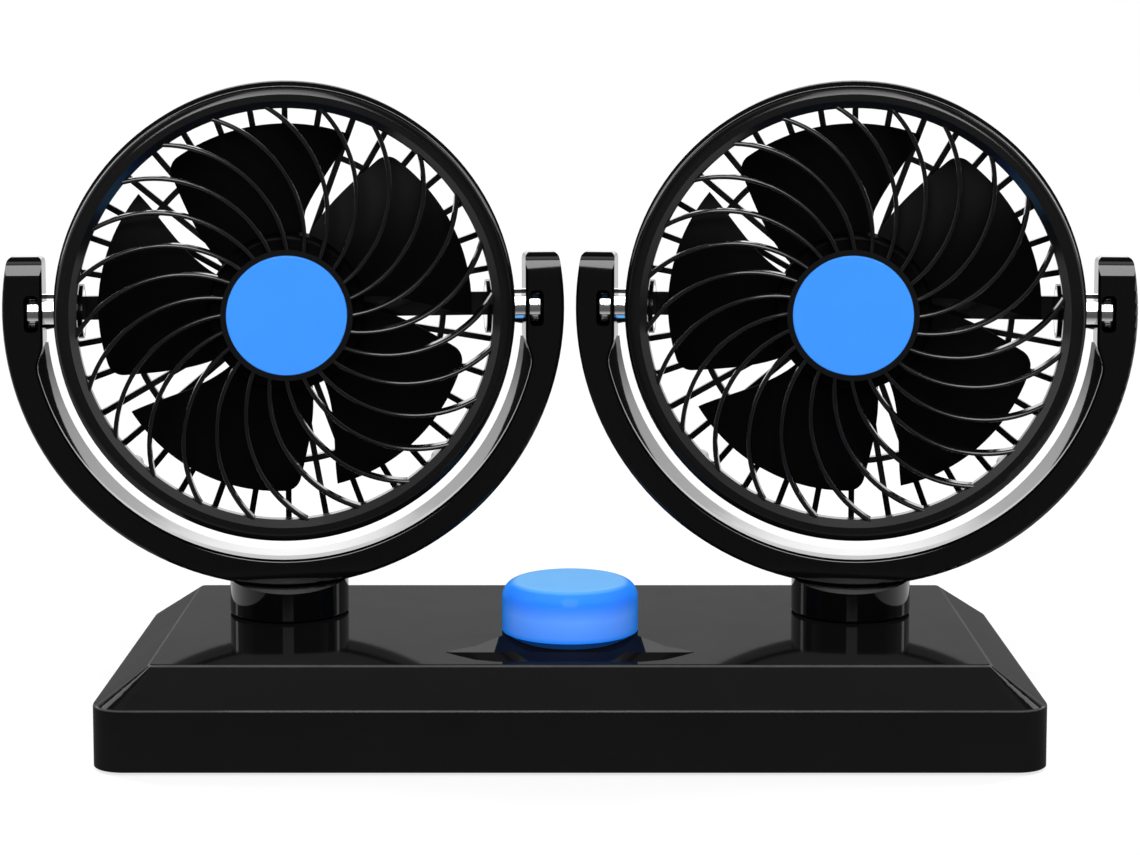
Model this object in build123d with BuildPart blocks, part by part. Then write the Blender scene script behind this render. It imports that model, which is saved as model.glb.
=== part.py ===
from build123d import *
import math
import os

os.makedirs("parts", exist_ok=True)

# A fan with two heads for a dashboard or a desk. Lengths are in millimetres and angles in
# degrees. +X is to the right of someone facing the fan, the front faces -Y and +Z is up.
# The origin is at the middle of the base, on the surface that it stands on.

# Fits that all pieces share
overrun = 1.0
screw_tip_gap = 1.0
shaft_play = 0.05
seat_play = 0.1
press_play = 0.02
move_gap = 0.3

# Base cover, a tray turned upside down with a sloping shoulder round its top
base_overhang = 39.6
base_depth = 103.0
skirt_stand = 0.6
skirt_height = 14.4
shoulder_rise = 8.6
shoulder_run_x = 13.0
shoulder_run_y = 9.5
skirt_corner = 8.0
plate_corner = 1.2
cavity_corner = 1.0
base_wall = 2.8
base_edge_round = 0.7

# Base lid and its four screws
lid_recess = 0.4
lid_thickness = 2.0
lid_gap = 0.3
base_boss_radius = 3.6
base_boss_inset_x = 25.0
base_boss_inset_y = 19.0
base_screw_radius = 1.4
base_screw_reach = 11.0
base_screw_head_radius = 2.8
base_screw_head_height = 1.2
drive_slot_share = 0.55
drive_slot_width_share = 0.16
drive_slot_depth_share = 0.5

# Sticky pad under the lid
pad_length = 150.0
pad_depth = 52.0
pad_corner = 6.0

# Cable inlet in the back of the skirt
inlet_height = 8.6
grommet_bore_radius = 2.25
grommet_neck_radius = 3.6
grommet_flange_radius = 5.0
grommet_flange_thickness = 1.0

# Swivel posts
post_setback = 12.5
toe_in = 6.5
post_rise = 7.3
post_radius = 15.0
post_edge_round = 0.5
spigot_radius = 11.0
wire_bore_radius = 3.5
swivel_washer_thickness = 0.8
swivel_washer_radius = 14.0
keeper_thickness = 2.0
keeper_radius = 14.0
keeper_screw_radius = 1.1
keeper_screw_reach = 7.0
keeper_screw_head_radius = 2.0
keeper_screw_head_height = 1.2
keeper_screw_circle = 8.2
keeper_screw_count = 4
keeper_screw_start = 45.0

# Yokes
yoke_gap = 5.9
yoke_side_gap = 1.6
yoke_thickness = 6.7
yoke_depth = 12.0
yoke_flare_drop = 2.7
yoke_flare_seat = 0.3
arm_rise = 14.0
arm_corner = 1.6
arm_top_round = 5.0
pad_drop = 8.3
pad_slope_drop = 5.0
pad_slope_round = 6.0
yoke_edge_round = 0.8
yoke_screw_radius = 1.5
yoke_screw_reach = 5.0
yoke_screw_head_radius = 2.5
yoke_screw_head_height = 1.8
yoke_screw_spacing = 17.0

# Pivot pins
pin_radius = 4.5
pin_head_radius = 5.6
pin_head_thickness = 1.1
pin_reach = 4.2
pin_end_round = 0.5
pivot_gap = 2.8
window_lip = 1.0
window_corner = 1.2

# Front guard
ring_radius = 57.2
ring_wall = 2.0
front_rim_step = 0.9
ring_front = 17.0
ring_back = 9.5
ring_seam = 7.0
ring_front_round = 2.0
ring_back_round = 1.4
lip_width = 5.4
lip_bevel_width = 1.8
lip_bevel_depth = 1.7
lip_depth = 4.5
guard_hub_radius = 16.2
guard_hub_front = 16.0
guard_hub_thickness = 4.8
spoke_count = 24
spoke_width = 1.1
spoke_depth = 4.6
spoke_setback = 1.2
spoke_start = 0.5
spoke_turn = 22.0
spoke_turn_growth = 13.0
spoke_root_sink = 1.2
guard_screw_count = 4
guard_screw_start = 45.0
guard_screw_radius = 0.9
guard_screw_length = 10.0
guard_screw_head_radius = 1.45
guard_screw_head_height = 1.2
guard_boss_radius = 2.0
guard_boss_inset = 3.6
guard_lug_thickness = 3.0

# Blue badge in the middle of the front guard
badge_radius = 14.8
badge_thickness = 2.0
badge_proud = 0.3
badge_edge_round = 0.35

# Rear guard
rib_count = 36
rib_width = 1.5
rib_depth = 2.5
wide_rib_width = 6.0
rib_ring_radius = 40.0
motor_cup_wall = 1.8
motor_cup_gap = 3.0
pin_boss_radius = 6.8
pin_boss_depth = 7.0

# Motor
can_radius = 12.2
can_wall = 0.9
can_gap = 4.5
can_edge_round = 0.3
nose_radius = 4.2
nose_length = 2.0
bush_radius = 2.9
bush_length = 2.6
motor_length = 24.0
end_cap_thickness = 3.0
magnet_thickness = 2.2
magnet_length = 15.0
magnet_angle = 130.0
motor_screw_radius = 1.0
motor_screw_length = 4.0
motor_screw_head_radius = 2.0
motor_screw_head_height = 1.1
motor_screw_spacing = 16.0

# Rotor
shaft_radius = 1.15
shaft_cover = 0.7
armature_radius = 8.2
armature_length = 13.0
armature_slot_count = 3
armature_slot_width = 2.0
armature_slot_depth = 3.6
commutator_radius = 2.8
commutator_length = 3.6
hub_radius = 19.5
hub_gap = 1.5
hub_height = 13.3
hub_wall = 1.8
hub_edge_round = 1.2
hub_boss_radius = 4.0
blade_count = 5
blade_start = 17.0
blade_setback = 7.7
blade_room = 16.0
blade_pitch = 17.0
blade_thickness = 1.4
blade_camber_radius = 90.0
blade_tip_gap = 4.2
blade_tip_corner = 4.0

# Angles of the blade's two edges, and how far out each point lies from hub to tip
near_edge_angles = (0.0, 3.6, 10.2, 16.0)
near_edge_shares = (0.0, 0.21, 0.57, 1.0)
far_edge_angles = (75.6, 73.3, 69.7, 64.9, 64.0)
far_edge_shares = (1.0, 0.72, 0.46, 0.13, 0.0)

# Speed knob
knob_setback = 34.5
knob_radius = 16.75
knob_height = 13.7
knob_foot_radius = 15.4
knob_foot_height = 1.6
knob_top_radius = 12.8
knob_shoulder_height = 4.0
knob_wall = 2.2
knob_roof = 3.0
knob_hub_radius = 5.2
well_depth = 1.6
well_gap = 0.4

# Finger scoop in front of the knob: two hollows with a straight ridge between them
scoop_half_width = 29.4
scoop_ridge_setback = 11.5
scoop_near_setback = 2.2
scoop_near_depth = 1.9
scoop_slope_run = 7.0
scoop_far_setback = 48.0
scoop_far_depth = 1.4

# Places across each hollow, how far it runs there from the ridge, and how deep it is
near_scoop_shares = ((0.58, 0.96, 0.96), (0.76, 0.76, 0.76), (0.9, 0.36, 0.36), (1.0, 0.03, 0.03))
far_scoop_shares = ((0.3, 0.6, 1.0), (0.53, 0.5, 0.9), (0.77, 0.17, 0.3), (1.0, 0.02, 0.03))

# Rotary switch and its circuit board
switch_width = 18.0
switch_height = 10.0
switch_corner = 1.0
switch_neck_radius = 4.5
spindle_radius = 3.0
spindle_sink = 4.0
nut_radius = 6.8
nut_thickness = 2.2
neck_proud = 0.4
board_length = 46.0
board_depth = 36.0
board_thickness = 1.6
board_corner = 1.5
board_boss_radius = 2.8
board_boss_spacing = 36.0
board_screw_radius = 1.1
board_screw_reach = 6.0
board_screw_head_radius = 2.0
board_screw_head_height = 1.2
plug_count = 3
plug_length = 7.5
plug_depth = 5.8
plug_height = 4.4
plug_pitch = 13.0
plug_edge_gap = 1.5
plug_wall = 0.8

# Sizes and places that follow from the sizes above
front_radius = ring_radius - front_rim_step
lip_radius = front_radius - lip_width
yoke_radius = ring_radius + yoke_gap + yoke_thickness
head_spacing = 2 * (yoke_radius + yoke_side_gap)
base_length = head_spacing + 2 * base_overhang
plate_length = base_length - 2 * shoulder_run_x
plate_depth = base_depth - 2 * shoulder_run_y
skirt_top = skirt_stand + skirt_height
plate_top = skirt_top + shoulder_rise
ceiling = plate_top - base_wall
lid_bottom = skirt_stand + lid_recess
lid_top = lid_bottom + lid_thickness
plate_front = -plate_depth / 2
knob_y = plate_front + knob_setback
well_floor = plate_top - well_depth
knob_bottom = well_floor + move_gap
knob_top = knob_bottom + knob_height
board_top = ceiling - switch_height
board_bottom = board_top - board_thickness
neck_top = well_floor + nut_thickness + neck_proud
post_bottom = plate_top + move_gap
pivot_height = post_bottom + post_rise + yoke_radius
spigot_bottom = ceiling - seat_play - swivel_washer_thickness
keeper_bottom = spigot_bottom - keeper_thickness
pin_face = ring_radius + pivot_gap
pin_end = pin_face + pin_reach
pin_head_face = ring_radius - pin_boss_depth
pin_root = pin_head_face + pin_head_thickness
guard_screw_circle = ring_radius - guard_boss_inset
hub_front = ring_front - spoke_setback - spoke_depth - hub_gap
hub_back = hub_front - hub_height
blade_middle = hub_front - blade_setback
blade_tip_radius = lip_radius - blade_tip_gap
shaft_front = hub_front - shaft_cover
can_front = hub_front - hub_wall - can_gap
motor_cup_mouth = hub_back - motor_cup_gap
cup_radius = can_radius + seat_play + motor_cup_wall
end_cap_back = can_front - motor_length
cup_floor = end_cap_back - press_play
can_back = end_cap_back + end_cap_thickness
can_inside = can_front - can_wall


def keep(piece, name, place=(0, 0), turn=0):
    solids = piece.part.rotate(Axis((*place, 0), (0, 0, 1)), turn)
    solids.label = name
    export_step(solids, f"parts/{name}.step")


# A screw along +Z with its head's top at the plane, and a cross cut in the head
def screws(plane, places, head_radius, head_height, shank_radius, shank_length):
    with BuildPart() as group:
        with BuildSketch(plane):
            with Locations(*places):
                Circle(head_radius)
        extrude(amount=head_height)
        with BuildSketch(plane.offset(head_height)):
            with Locations(*places):
                Circle(shank_radius)
        extrude(amount=shank_length)
        with BuildSketch(plane):
            with Locations(*places):
                Rectangle(2 * head_radius * drive_slot_share, 2 * head_radius * drive_slot_width_share)
                Rectangle(2 * head_radius * drive_slot_width_share, 2 * head_radius * drive_slot_share)
        extrude(amount=head_height * drive_slot_depth_share, mode=Mode.SUBTRACT)
    return group


def ring_places(radius, count, start):
    step = 360 / count
    turns = [math.radians(start + step * number) for number in range(count)]
    return [(radius * math.cos(turn), radius * math.sin(turn)) for turn in turns]


base_boss_x = base_length / 2 - base_boss_inset_x
base_boss_y = base_depth / 2 - base_boss_inset_y
base_screw_places = [(side * base_boss_x, row * base_boss_y) for side in (-1, 1) for row in (-1, 1)]
post_places = [(-head_spacing / 2, post_setback), (head_spacing / 2, post_setback)]
board_boss_places = [(-board_boss_spacing / 2, knob_y), (board_boss_spacing / 2, knob_y)]


scoop_ridge = plate_front + scoop_ridge_setback
scoop_near_run = scoop_near_setback - scoop_ridge_setback
scoop_far_run = scoop_far_setback - scoop_ridge_setback


# Cross sections of a hollow from its left tip to its right tip; each corner is a run from the
# ridge and a depth under the plate
def scoop_sections(corners, shares):
    left_places = [(-across, run, depth) for across, run, depth in reversed(shares)]
    sections = []
    for across_share, run_share, depth_share in (*left_places, *shares):
        floor = [
            (scoop_ridge + run_share * run, plate_top - depth_share * depth) for run, depth in corners
        ]
        with BuildSketch(Plane.YZ.offset(across_share * scoop_half_width)) as section:
            with BuildLine():
                Polyline(
                    (scoop_ridge, plate_top),
                    *floor,
                    (floor[-1][0], plate_top + overrun),
                    (scoop_ridge, plate_top + overrun),
                    close=True,
                )
            make_face()
        sections.append(section.sketch)
    return sections


near_scoop = scoop_sections([(scoop_near_run, scoop_near_depth)], near_scoop_shares)
far_scoop = scoop_sections([(scoop_slope_run, scoop_far_depth), (scoop_far_run, 0)], far_scoop_shares)


with BuildPart() as base_cover:
    with BuildSketch(Plane.XY.offset(skirt_stand)):
        RectangleRounded(base_length, base_depth, skirt_corner)
    extrude(amount=skirt_height)
    with BuildSketch(Plane.XY.offset(skirt_top)):
        RectangleRounded(base_length, base_depth, skirt_corner)
    with BuildSketch(Plane.XY.offset(plate_top)):
        RectangleRounded(plate_length, plate_depth, plate_corner)
    loft(ruled=True)
    fillet(base_cover.edges().filter_by_position(Axis.Z, skirt_top, skirt_top), base_edge_round)
    fillet(base_cover.faces().sort_by(Axis.Z)[-1].edges(), base_edge_round)
    # The hollow underneath
    with BuildSketch(Plane.XY.offset(skirt_stand)):
        RectangleRounded(base_length - 2 * base_wall, base_depth - 2 * base_wall, skirt_corner - base_wall)
    extrude(amount=skirt_height, mode=Mode.SUBTRACT)
    with BuildSketch(Plane.XY.offset(skirt_top)):
        RectangleRounded(base_length - 2 * base_wall, base_depth - 2 * base_wall, skirt_corner - base_wall)
    with BuildSketch(Plane.XY.offset(ceiling)):
        RectangleRounded(plate_length - 2 * base_wall, plate_depth - 2 * base_wall, cavity_corner)
    loft(ruled=True, mode=Mode.SUBTRACT)
    # Bosses for the lid's screws and for the board's screws
    with BuildSketch(Plane.XY.offset(lid_top)):
        with Locations(*base_screw_places):
            Circle(base_boss_radius)
    extrude(amount=ceiling - lid_top + base_wall / 2)
    with BuildSketch(Plane.XY.offset(board_top)):
        with Locations(*board_boss_places):
            Circle(board_boss_radius)
    extrude(amount=ceiling - board_top + base_wall / 2)
    with BuildSketch(Plane.XY.offset(lid_top)):
        with Locations(*base_screw_places):
            Circle(base_screw_radius + press_play)
    extrude(amount=base_screw_reach + screw_tip_gap, mode=Mode.SUBTRACT)
    with BuildSketch(Plane.XY.offset(board_top)):
        with Locations(*board_boss_places):
            Circle(board_screw_radius + press_play)
    extrude(amount=board_screw_reach + screw_tip_gap, mode=Mode.SUBTRACT)
    # Bearing holes of the two swivel posts
    with BuildSketch(Plane.XY.offset(ceiling - overrun)):
        with Locations(*post_places):
            Circle(spigot_radius + shaft_play)
    extrude(amount=base_wall + 2 * overrun, mode=Mode.SUBTRACT)
    # The knob's round well, the switch's hole and the finger scoop
    with BuildSketch(Plane.XY.offset(well_floor)):
        with Locations((0, knob_y)):
            Circle(knob_foot_radius + well_gap)
    extrude(amount=well_depth + overrun, mode=Mode.SUBTRACT)
    with BuildSketch(Plane.XY.offset(ceiling - overrun)):
        with Locations((0, knob_y)):
            Circle(switch_neck_radius + seat_play)
    extrude(amount=base_wall + overrun, mode=Mode.SUBTRACT)
    loft(near_scoop, ruled=True, mode=Mode.SUBTRACT)
    loft(far_scoop, ruled=True, mode=Mode.SUBTRACT)
    # The cable inlet in the back wall, with a seat that lets the grommet lie flush
    with BuildSketch(Plane.XZ.offset(-base_depth / 2 - overrun)):
        with Locations((0, inlet_height)):
            Circle(grommet_neck_radius + seat_play)
    extrude(amount=base_wall + 2 * overrun, mode=Mode.SUBTRACT)
    with BuildSketch(Plane.XZ.offset(-base_depth / 2 - overrun)):
        with Locations((0, inlet_height)):
            Circle(grommet_flange_radius + seat_play)
    extrude(amount=grommet_flange_thickness + overrun, mode=Mode.SUBTRACT)
keep(base_cover, "base_cover")


with BuildPart() as base_lid:
    with BuildSketch(Plane.XY.offset(lid_bottom)):
        inset = base_wall + lid_gap
        RectangleRounded(base_length - 2 * inset, base_depth - 2 * inset, skirt_corner - inset)
    extrude(amount=lid_thickness)
    with BuildSketch(Plane.XY.offset(lid_bottom)):
        with Locations(*base_screw_places):
            Circle(base_screw_head_radius + seat_play)
    extrude(amount=base_screw_head_height, mode=Mode.SUBTRACT)
    with BuildSketch(Plane.XY.offset(lid_bottom)):
        with Locations(*base_screw_places):
            Circle(base_screw_radius + seat_play)
    extrude(amount=lid_thickness, mode=Mode.SUBTRACT)
keep(base_lid, "base_lid")

base_screws = screws(
    Plane.XY.offset(lid_bottom),
    base_screw_places,
    base_screw_head_radius,
    base_screw_head_height,
    base_screw_radius,
    lid_thickness - base_screw_head_height + base_screw_reach,
)
keep(base_screws, "base_screws")

with BuildPart() as mounting_pad:
    with BuildSketch():
        RectangleRounded(pad_length, pad_depth, pad_corner)
    extrude(amount=lid_bottom)
keep(mounting_pad, "mounting_pad")

# The grommet's outer flange lies in its seat, and its inner flange grips the wall from inside
with BuildPart() as cable_grommet:
    with BuildSketch(Plane.XZ.offset(-base_depth / 2)):
        with Locations((0, inlet_height)):
            Circle(grommet_flange_radius)
    extrude(amount=grommet_flange_thickness - press_play)
    with BuildSketch(Plane.XZ.offset(-base_depth / 2)):
        with Locations((0, inlet_height)):
            Circle(grommet_neck_radius)
    extrude(amount=base_wall + grommet_flange_thickness)
    with BuildSketch(Plane.XZ.offset(-base_depth / 2 + base_wall + press_play)):
        with Locations((0, inlet_height)):
            Circle(grommet_flange_radius)
    extrude(amount=grommet_flange_thickness)
    with BuildSketch(Plane.XZ.offset(-base_depth / 2 - overrun)):
        with Locations((0, inlet_height)):
            Circle(grommet_bore_radius)
    extrude(amount=base_wall + grommet_flange_thickness + 2 * overrun, mode=Mode.SUBTRACT)
keep(cable_grommet, "cable_grommet")


# The switch hangs from the top of the base by its threaded neck and nut
with BuildPart() as rotary_switch:
    with BuildSketch(Plane.XY.offset(board_top)):
        with Locations((0, knob_y)):
            RectangleRounded(switch_width, switch_width, switch_corner)
    extrude(amount=switch_height)
    with BuildSketch(Plane.XY.offset(ceiling)):
        with Locations((0, knob_y)):
            Circle(switch_neck_radius)
    extrude(amount=neck_top - ceiling)
    with BuildSketch(Plane.XY.offset(ceiling - spindle_sink)):
        with Locations((0, knob_y)):
            Circle(spindle_radius + shaft_play)
    extrude(amount=neck_top - ceiling + spindle_sink + overrun, mode=Mode.SUBTRACT)
keep(rotary_switch, "rotary_switch")

with BuildPart() as switch_nut:
    with BuildSketch(Plane.XY.offset(well_floor)):
        with Locations((0, knob_y)):
            RegularPolygon(nut_radius, 6)
            Circle(switch_neck_radius + press_play, mode=Mode.SUBTRACT)
    extrude(amount=nut_thickness)
keep(switch_nut, "switch_nut")

with BuildPart() as circuit_board:
    with BuildSketch(Plane.XY.offset(board_bottom)):
        with Locations((0, knob_y)):
            RectangleRounded(board_length, board_depth, board_corner)
        with Locations(*board_boss_places):
            Circle(board_screw_radius + seat_play, mode=Mode.SUBTRACT)
    extrude(amount=board_thickness)
keep(circuit_board, "circuit_board")

board_screws = screws(
    Plane.XY.offset(board_bottom - board_screw_head_height),
    board_boss_places,
    board_screw_head_radius,
    board_screw_head_height,
    board_screw_radius,
    board_thickness + board_screw_reach,
)
keep(board_screws, "board_screws")

plug_y = knob_y + board_depth / 2 - plug_depth / 2 - plug_edge_gap
plug_places = [(plug_pitch * (number - (plug_count - 1) / 2), plug_y) for number in range(plug_count)]
with BuildPart() as board_plugs:
    with BuildSketch(Plane.XY.offset(board_bottom)):
        with Locations(*plug_places):
            Rectangle(plug_length, plug_depth)
    extrude(amount=-plug_height)
    with BuildSketch(Plane.XY.offset(board_bottom - plug_height)):
        with Locations(*plug_places):
            Rectangle(plug_length - 2 * plug_wall, plug_depth - 2 * plug_wall)
    extrude(amount=plug_height - plug_wall, mode=Mode.SUBTRACT)
keep(board_plugs, "board_plugs")

with BuildPart() as switch_spindle:
    with BuildSketch(Plane.XY.offset(ceiling - spindle_sink + move_gap)):
        with Locations((0, knob_y)):
            Circle(spindle_radius)
    extrude(amount=knob_top - knob_roof - press_play - ceiling + spindle_sink - move_gap)
keep(switch_spindle, "switch_spindle")

# The knob is a hollow cap with a socket in its middle that grips the spindle
with BuildPart() as speed_knob:
    with BuildSketch(Plane(origin=(0, knob_y, 0), x_dir=(1, 0, 0), z_dir=(0, -1, 0))):
        with BuildLine():
            Polyline(
                (0, knob_bottom),
                (knob_foot_radius, knob_bottom),
                (knob_foot_radius, knob_bottom + knob_foot_height),
                (knob_radius, knob_bottom + knob_foot_height),
                (knob_radius, knob_top - knob_shoulder_height),
            )
            EllipticalCenterArc(
                (knob_top_radius, knob_top - knob_shoulder_height),
                knob_radius - knob_top_radius,
                knob_shoulder_height,
                start_angle=0,
                arc_size=90,
            )
            Polyline((knob_top_radius, knob_top), (0, knob_top), (0, knob_bottom))
        make_face()
    revolve(axis=Axis((0, knob_y, 0), (0, 0, 1)))
    with BuildSketch(Plane.XY.offset(knob_bottom)):
        with Locations((0, knob_y)):
            Circle(knob_foot_radius - knob_wall)
            Circle(knob_hub_radius, mode=Mode.SUBTRACT)
    extrude(amount=knob_height - knob_roof, mode=Mode.SUBTRACT)
    with BuildSketch(Plane.XY.offset(knob_bottom)):
        with Locations((0, knob_y)):
            Circle(nut_radius + well_gap)
    extrude(amount=neck_top + move_gap - knob_bottom, mode=Mode.SUBTRACT)
    with BuildSketch(Plane.XY.offset(knob_bottom)):
        with Locations((0, knob_y)):
            Circle(spindle_radius + press_play)
    extrude(amount=knob_height - knob_roof, mode=Mode.SUBTRACT)
keep(speed_knob, "speed_knob")


# One spoke of the front guard, round a centre at the origin. It curls against the clock as it
# runs outwards, faster near the rim, and its edges are round.
def spoke_point(share):
    reach = guard_hub_radius + (lip_radius - guard_hub_radius) * share
    turn = math.radians(spoke_start - spoke_turn * share - spoke_turn_growth * share**2)
    return (reach * math.sin(turn), reach * math.cos(turn))


spoke_root_share = -spoke_root_sink / (lip_radius - guard_hub_radius)
spoke_shares = (spoke_root_share, (1 + spoke_root_share) / 2, 1 - spoke_root_share)
spoke_level = ring_front - spoke_setback - spoke_depth / 2

with BuildPart() as spoke:
    with BuildLine(Plane.XY.offset(spoke_level)) as spoke_path:
        ThreePointArc(*[spoke_point(share) for share in spoke_shares])
    spoke_line = spoke_path.line
    with BuildSketch(Plane(origin=spoke_line @ 0, x_dir=(0, 0, 1), z_dir=spoke_line % 0)):
        SlotOverall(spoke_depth, spoke_width)
    sweep()


# One blade of the impeller, round a centre at the origin: the blade's outline from the front,
# cut from a curved sheet that is set at the blade's pitch
def blade_point(angle, share):
    root = hub_radius - hub_wall / 2
    reach = root + (blade_tip_radius - root) * share
    turn = math.radians(blade_start + angle)
    return (reach * math.sin(turn), reach * math.cos(turn))


blade_mid_angle = blade_start + (near_edge_angles[0] + far_edge_angles[-1]) / 2
blade_mid_turn = math.radians(blade_mid_angle)
blade_out = (math.sin(blade_mid_turn), math.cos(blade_mid_turn), 0)
blade_across = (math.cos(blade_mid_turn), -math.sin(blade_mid_turn), 0)

with BuildPart() as blade:
    with BuildSketch(Plane.XY.offset(blade_middle)) as blade_outline:
        with BuildLine():
            near_edge = Spline(*[blade_point(a, s) for a, s in zip(near_edge_angles, near_edge_shares)])
            far_edge = Spline(*[blade_point(a, s) for a, s in zip(far_edge_angles, far_edge_shares)])
            tip_angle = (near_edge_angles[-1] + far_edge_angles[0]) / 2
            ThreePointArc(near_edge @ 1, blade_point(tip_angle, 1), far_edge @ 0)
            Line(far_edge @ 1, near_edge @ 0)
        make_face()
        fillet(blade_outline.vertices().sort_by_distance(near_edge @ 1)[0], blade_tip_corner)
    extrude(amount=blade_room, both=True)
    sheet_plane = Plane(origin=(0, 0, blade_middle), x_dir=blade_across, z_dir=blade_out)
    with BuildSketch(sheet_plane.rotated((0, 0, -blade_pitch)), mode=Mode.PRIVATE) as sheet_section:
        with Locations((0, blade_camber_radius)):
            Circle(blade_camber_radius)
            Circle(blade_camber_radius - blade_thickness, mode=Mode.SUBTRACT)
        with Locations((0, blade_camber_radius / 2)):
            Rectangle(
                2 * blade_camber_radius,
                2 * blade_camber_radius,
                align=(Align.CENTER, Align.MIN),
                mode=Mode.SUBTRACT,
            )
    extrude(to_extrude=sheet_section.sketch, amount=blade_tip_radius + overrun, mode=Mode.INTERSECT)


def make_post(front):
    foot = Plane.XY.offset(post_bottom)
    centre = (front.origin.X, front.origin.Y)
    with BuildPart() as post:
        with BuildSketch(foot):
            with Locations(centre):
                Circle(post_radius)
        extrude(amount=pivot_height - post_bottom)
        with BuildSketch(front):
            Circle(yoke_radius + press_play)
        extrude(amount=post_radius + overrun, both=True, mode=Mode.SUBTRACT)
        fillet(post.faces().sort_by(Axis.Z)[0].edges(), post_edge_round)
        with BuildSketch(foot):
            with Locations(centre):
                Circle(spigot_radius)
        extrude(amount=spigot_bottom - post_bottom)
        with BuildSketch(Plane.XY.offset(spigot_bottom)):
            with Locations(centre):
                Circle(wire_bore_radius)
        extrude(amount=pivot_height - yoke_radius - spigot_bottom, mode=Mode.SUBTRACT)
        with BuildSketch(Plane.XY.offset(spigot_bottom)):
            with Locations(centre):
                with Locations(*ring_places(keeper_screw_circle, keeper_screw_count, keeper_screw_start)):
                    Circle(keeper_screw_radius + press_play)
        extrude(amount=keeper_screw_reach + screw_tip_gap, mode=Mode.SUBTRACT)
        with BuildSketch(Plane.XY.offset(spigot_bottom)):
            with Locations(centre):
                with Locations((-yoke_screw_spacing / 2, 0), (yoke_screw_spacing / 2, 0)):
                    Circle(yoke_screw_radius + seat_play)
        extrude(amount=pivot_height - spigot_bottom, mode=Mode.SUBTRACT)
        with BuildSketch(Plane.XY.offset(spigot_bottom)):
            with Locations(centre):
                with Locations((-yoke_screw_spacing / 2, 0), (yoke_screw_spacing / 2, 0)):
                    Circle(yoke_screw_head_radius + seat_play)
        extrude(amount=yoke_screw_head_height, mode=Mode.SUBTRACT)
    return post


def make_swivel_washer(front):
    with BuildPart() as washer:
        with BuildSketch(Plane.XY.offset(spigot_bottom)):
            with Locations((front.origin.X, front.origin.Y)):
                Circle(swivel_washer_radius)
                Circle(spigot_radius + seat_play, mode=Mode.SUBTRACT)
        extrude(amount=swivel_washer_thickness)
    return washer


def make_keeper(front):
    with BuildPart() as keeper:
        with BuildSketch(Plane.XY.offset(keeper_bottom)):
            with Locations((front.origin.X, front.origin.Y)):
                Circle(keeper_radius)
                Circle(wire_bore_radius, mode=Mode.SUBTRACT)
                with Locations(*ring_places(keeper_screw_circle, keeper_screw_count, keeper_screw_start)):
                    Circle(keeper_screw_radius + seat_play, mode=Mode.SUBTRACT)
        extrude(amount=keeper_thickness)
    return keeper


def make_keeper_screws(front):
    places = ring_places(keeper_screw_circle, keeper_screw_count, keeper_screw_start)
    return screws(
        Plane.XY.offset(keeper_bottom - keeper_screw_head_height),
        [(front.origin.X + x, front.origin.Y + y) for x, y in places],
        keeper_screw_head_radius,
        keeper_screw_head_height,
        keeper_screw_radius,
        keeper_thickness + keeper_screw_reach,
    )


yoke_screw_x = yoke_screw_spacing / 2
yoke_screw_top = pivot_height - math.sqrt(yoke_radius**2 - yoke_screw_x**2) + yoke_screw_reach


def make_yoke_screws(front):
    return screws(
        Plane.XY.offset(spigot_bottom),
        [(front.origin.X + side * yoke_screw_x, front.origin.Y) for side in (-1, 1)],
        yoke_screw_head_radius,
        yoke_screw_head_height,
        yoke_screw_radius,
        yoke_screw_top - spigot_bottom - yoke_screw_head_height,
    )


# The yoke's inside flares towards its front: this is the wedge that it has below the pivot pads,
# of no thickness at its front and the same depth as the pads at its back
def make_flare(front):
    inner_radius = yoke_radius - yoke_thickness
    back_view = front.offset(-yoke_depth / 2)
    with BuildPart() as flare:
        with BuildSketch(back_view):
            Circle(inner_radius + yoke_thickness / 2)
            with Locations((0, -pad_drop)):
                Rectangle(
                    2 * yoke_radius,
                    yoke_radius + pad_drop,
                    align=(Align.CENTER, Align.MIN),
                    mode=Mode.SUBTRACT,
                )
        extrude(amount=yoke_depth - yoke_edge_round)
        with BuildSketch(back_view):
            with Locations((0, -yoke_flare_drop)):
                Circle(pin_face)
        with BuildSketch(front.offset(yoke_depth / 2 - yoke_edge_round)):
            Circle(inner_radius + yoke_flare_seat)
        loft(ruled=True, mode=Mode.SUBTRACT)
    return flare.part


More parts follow.
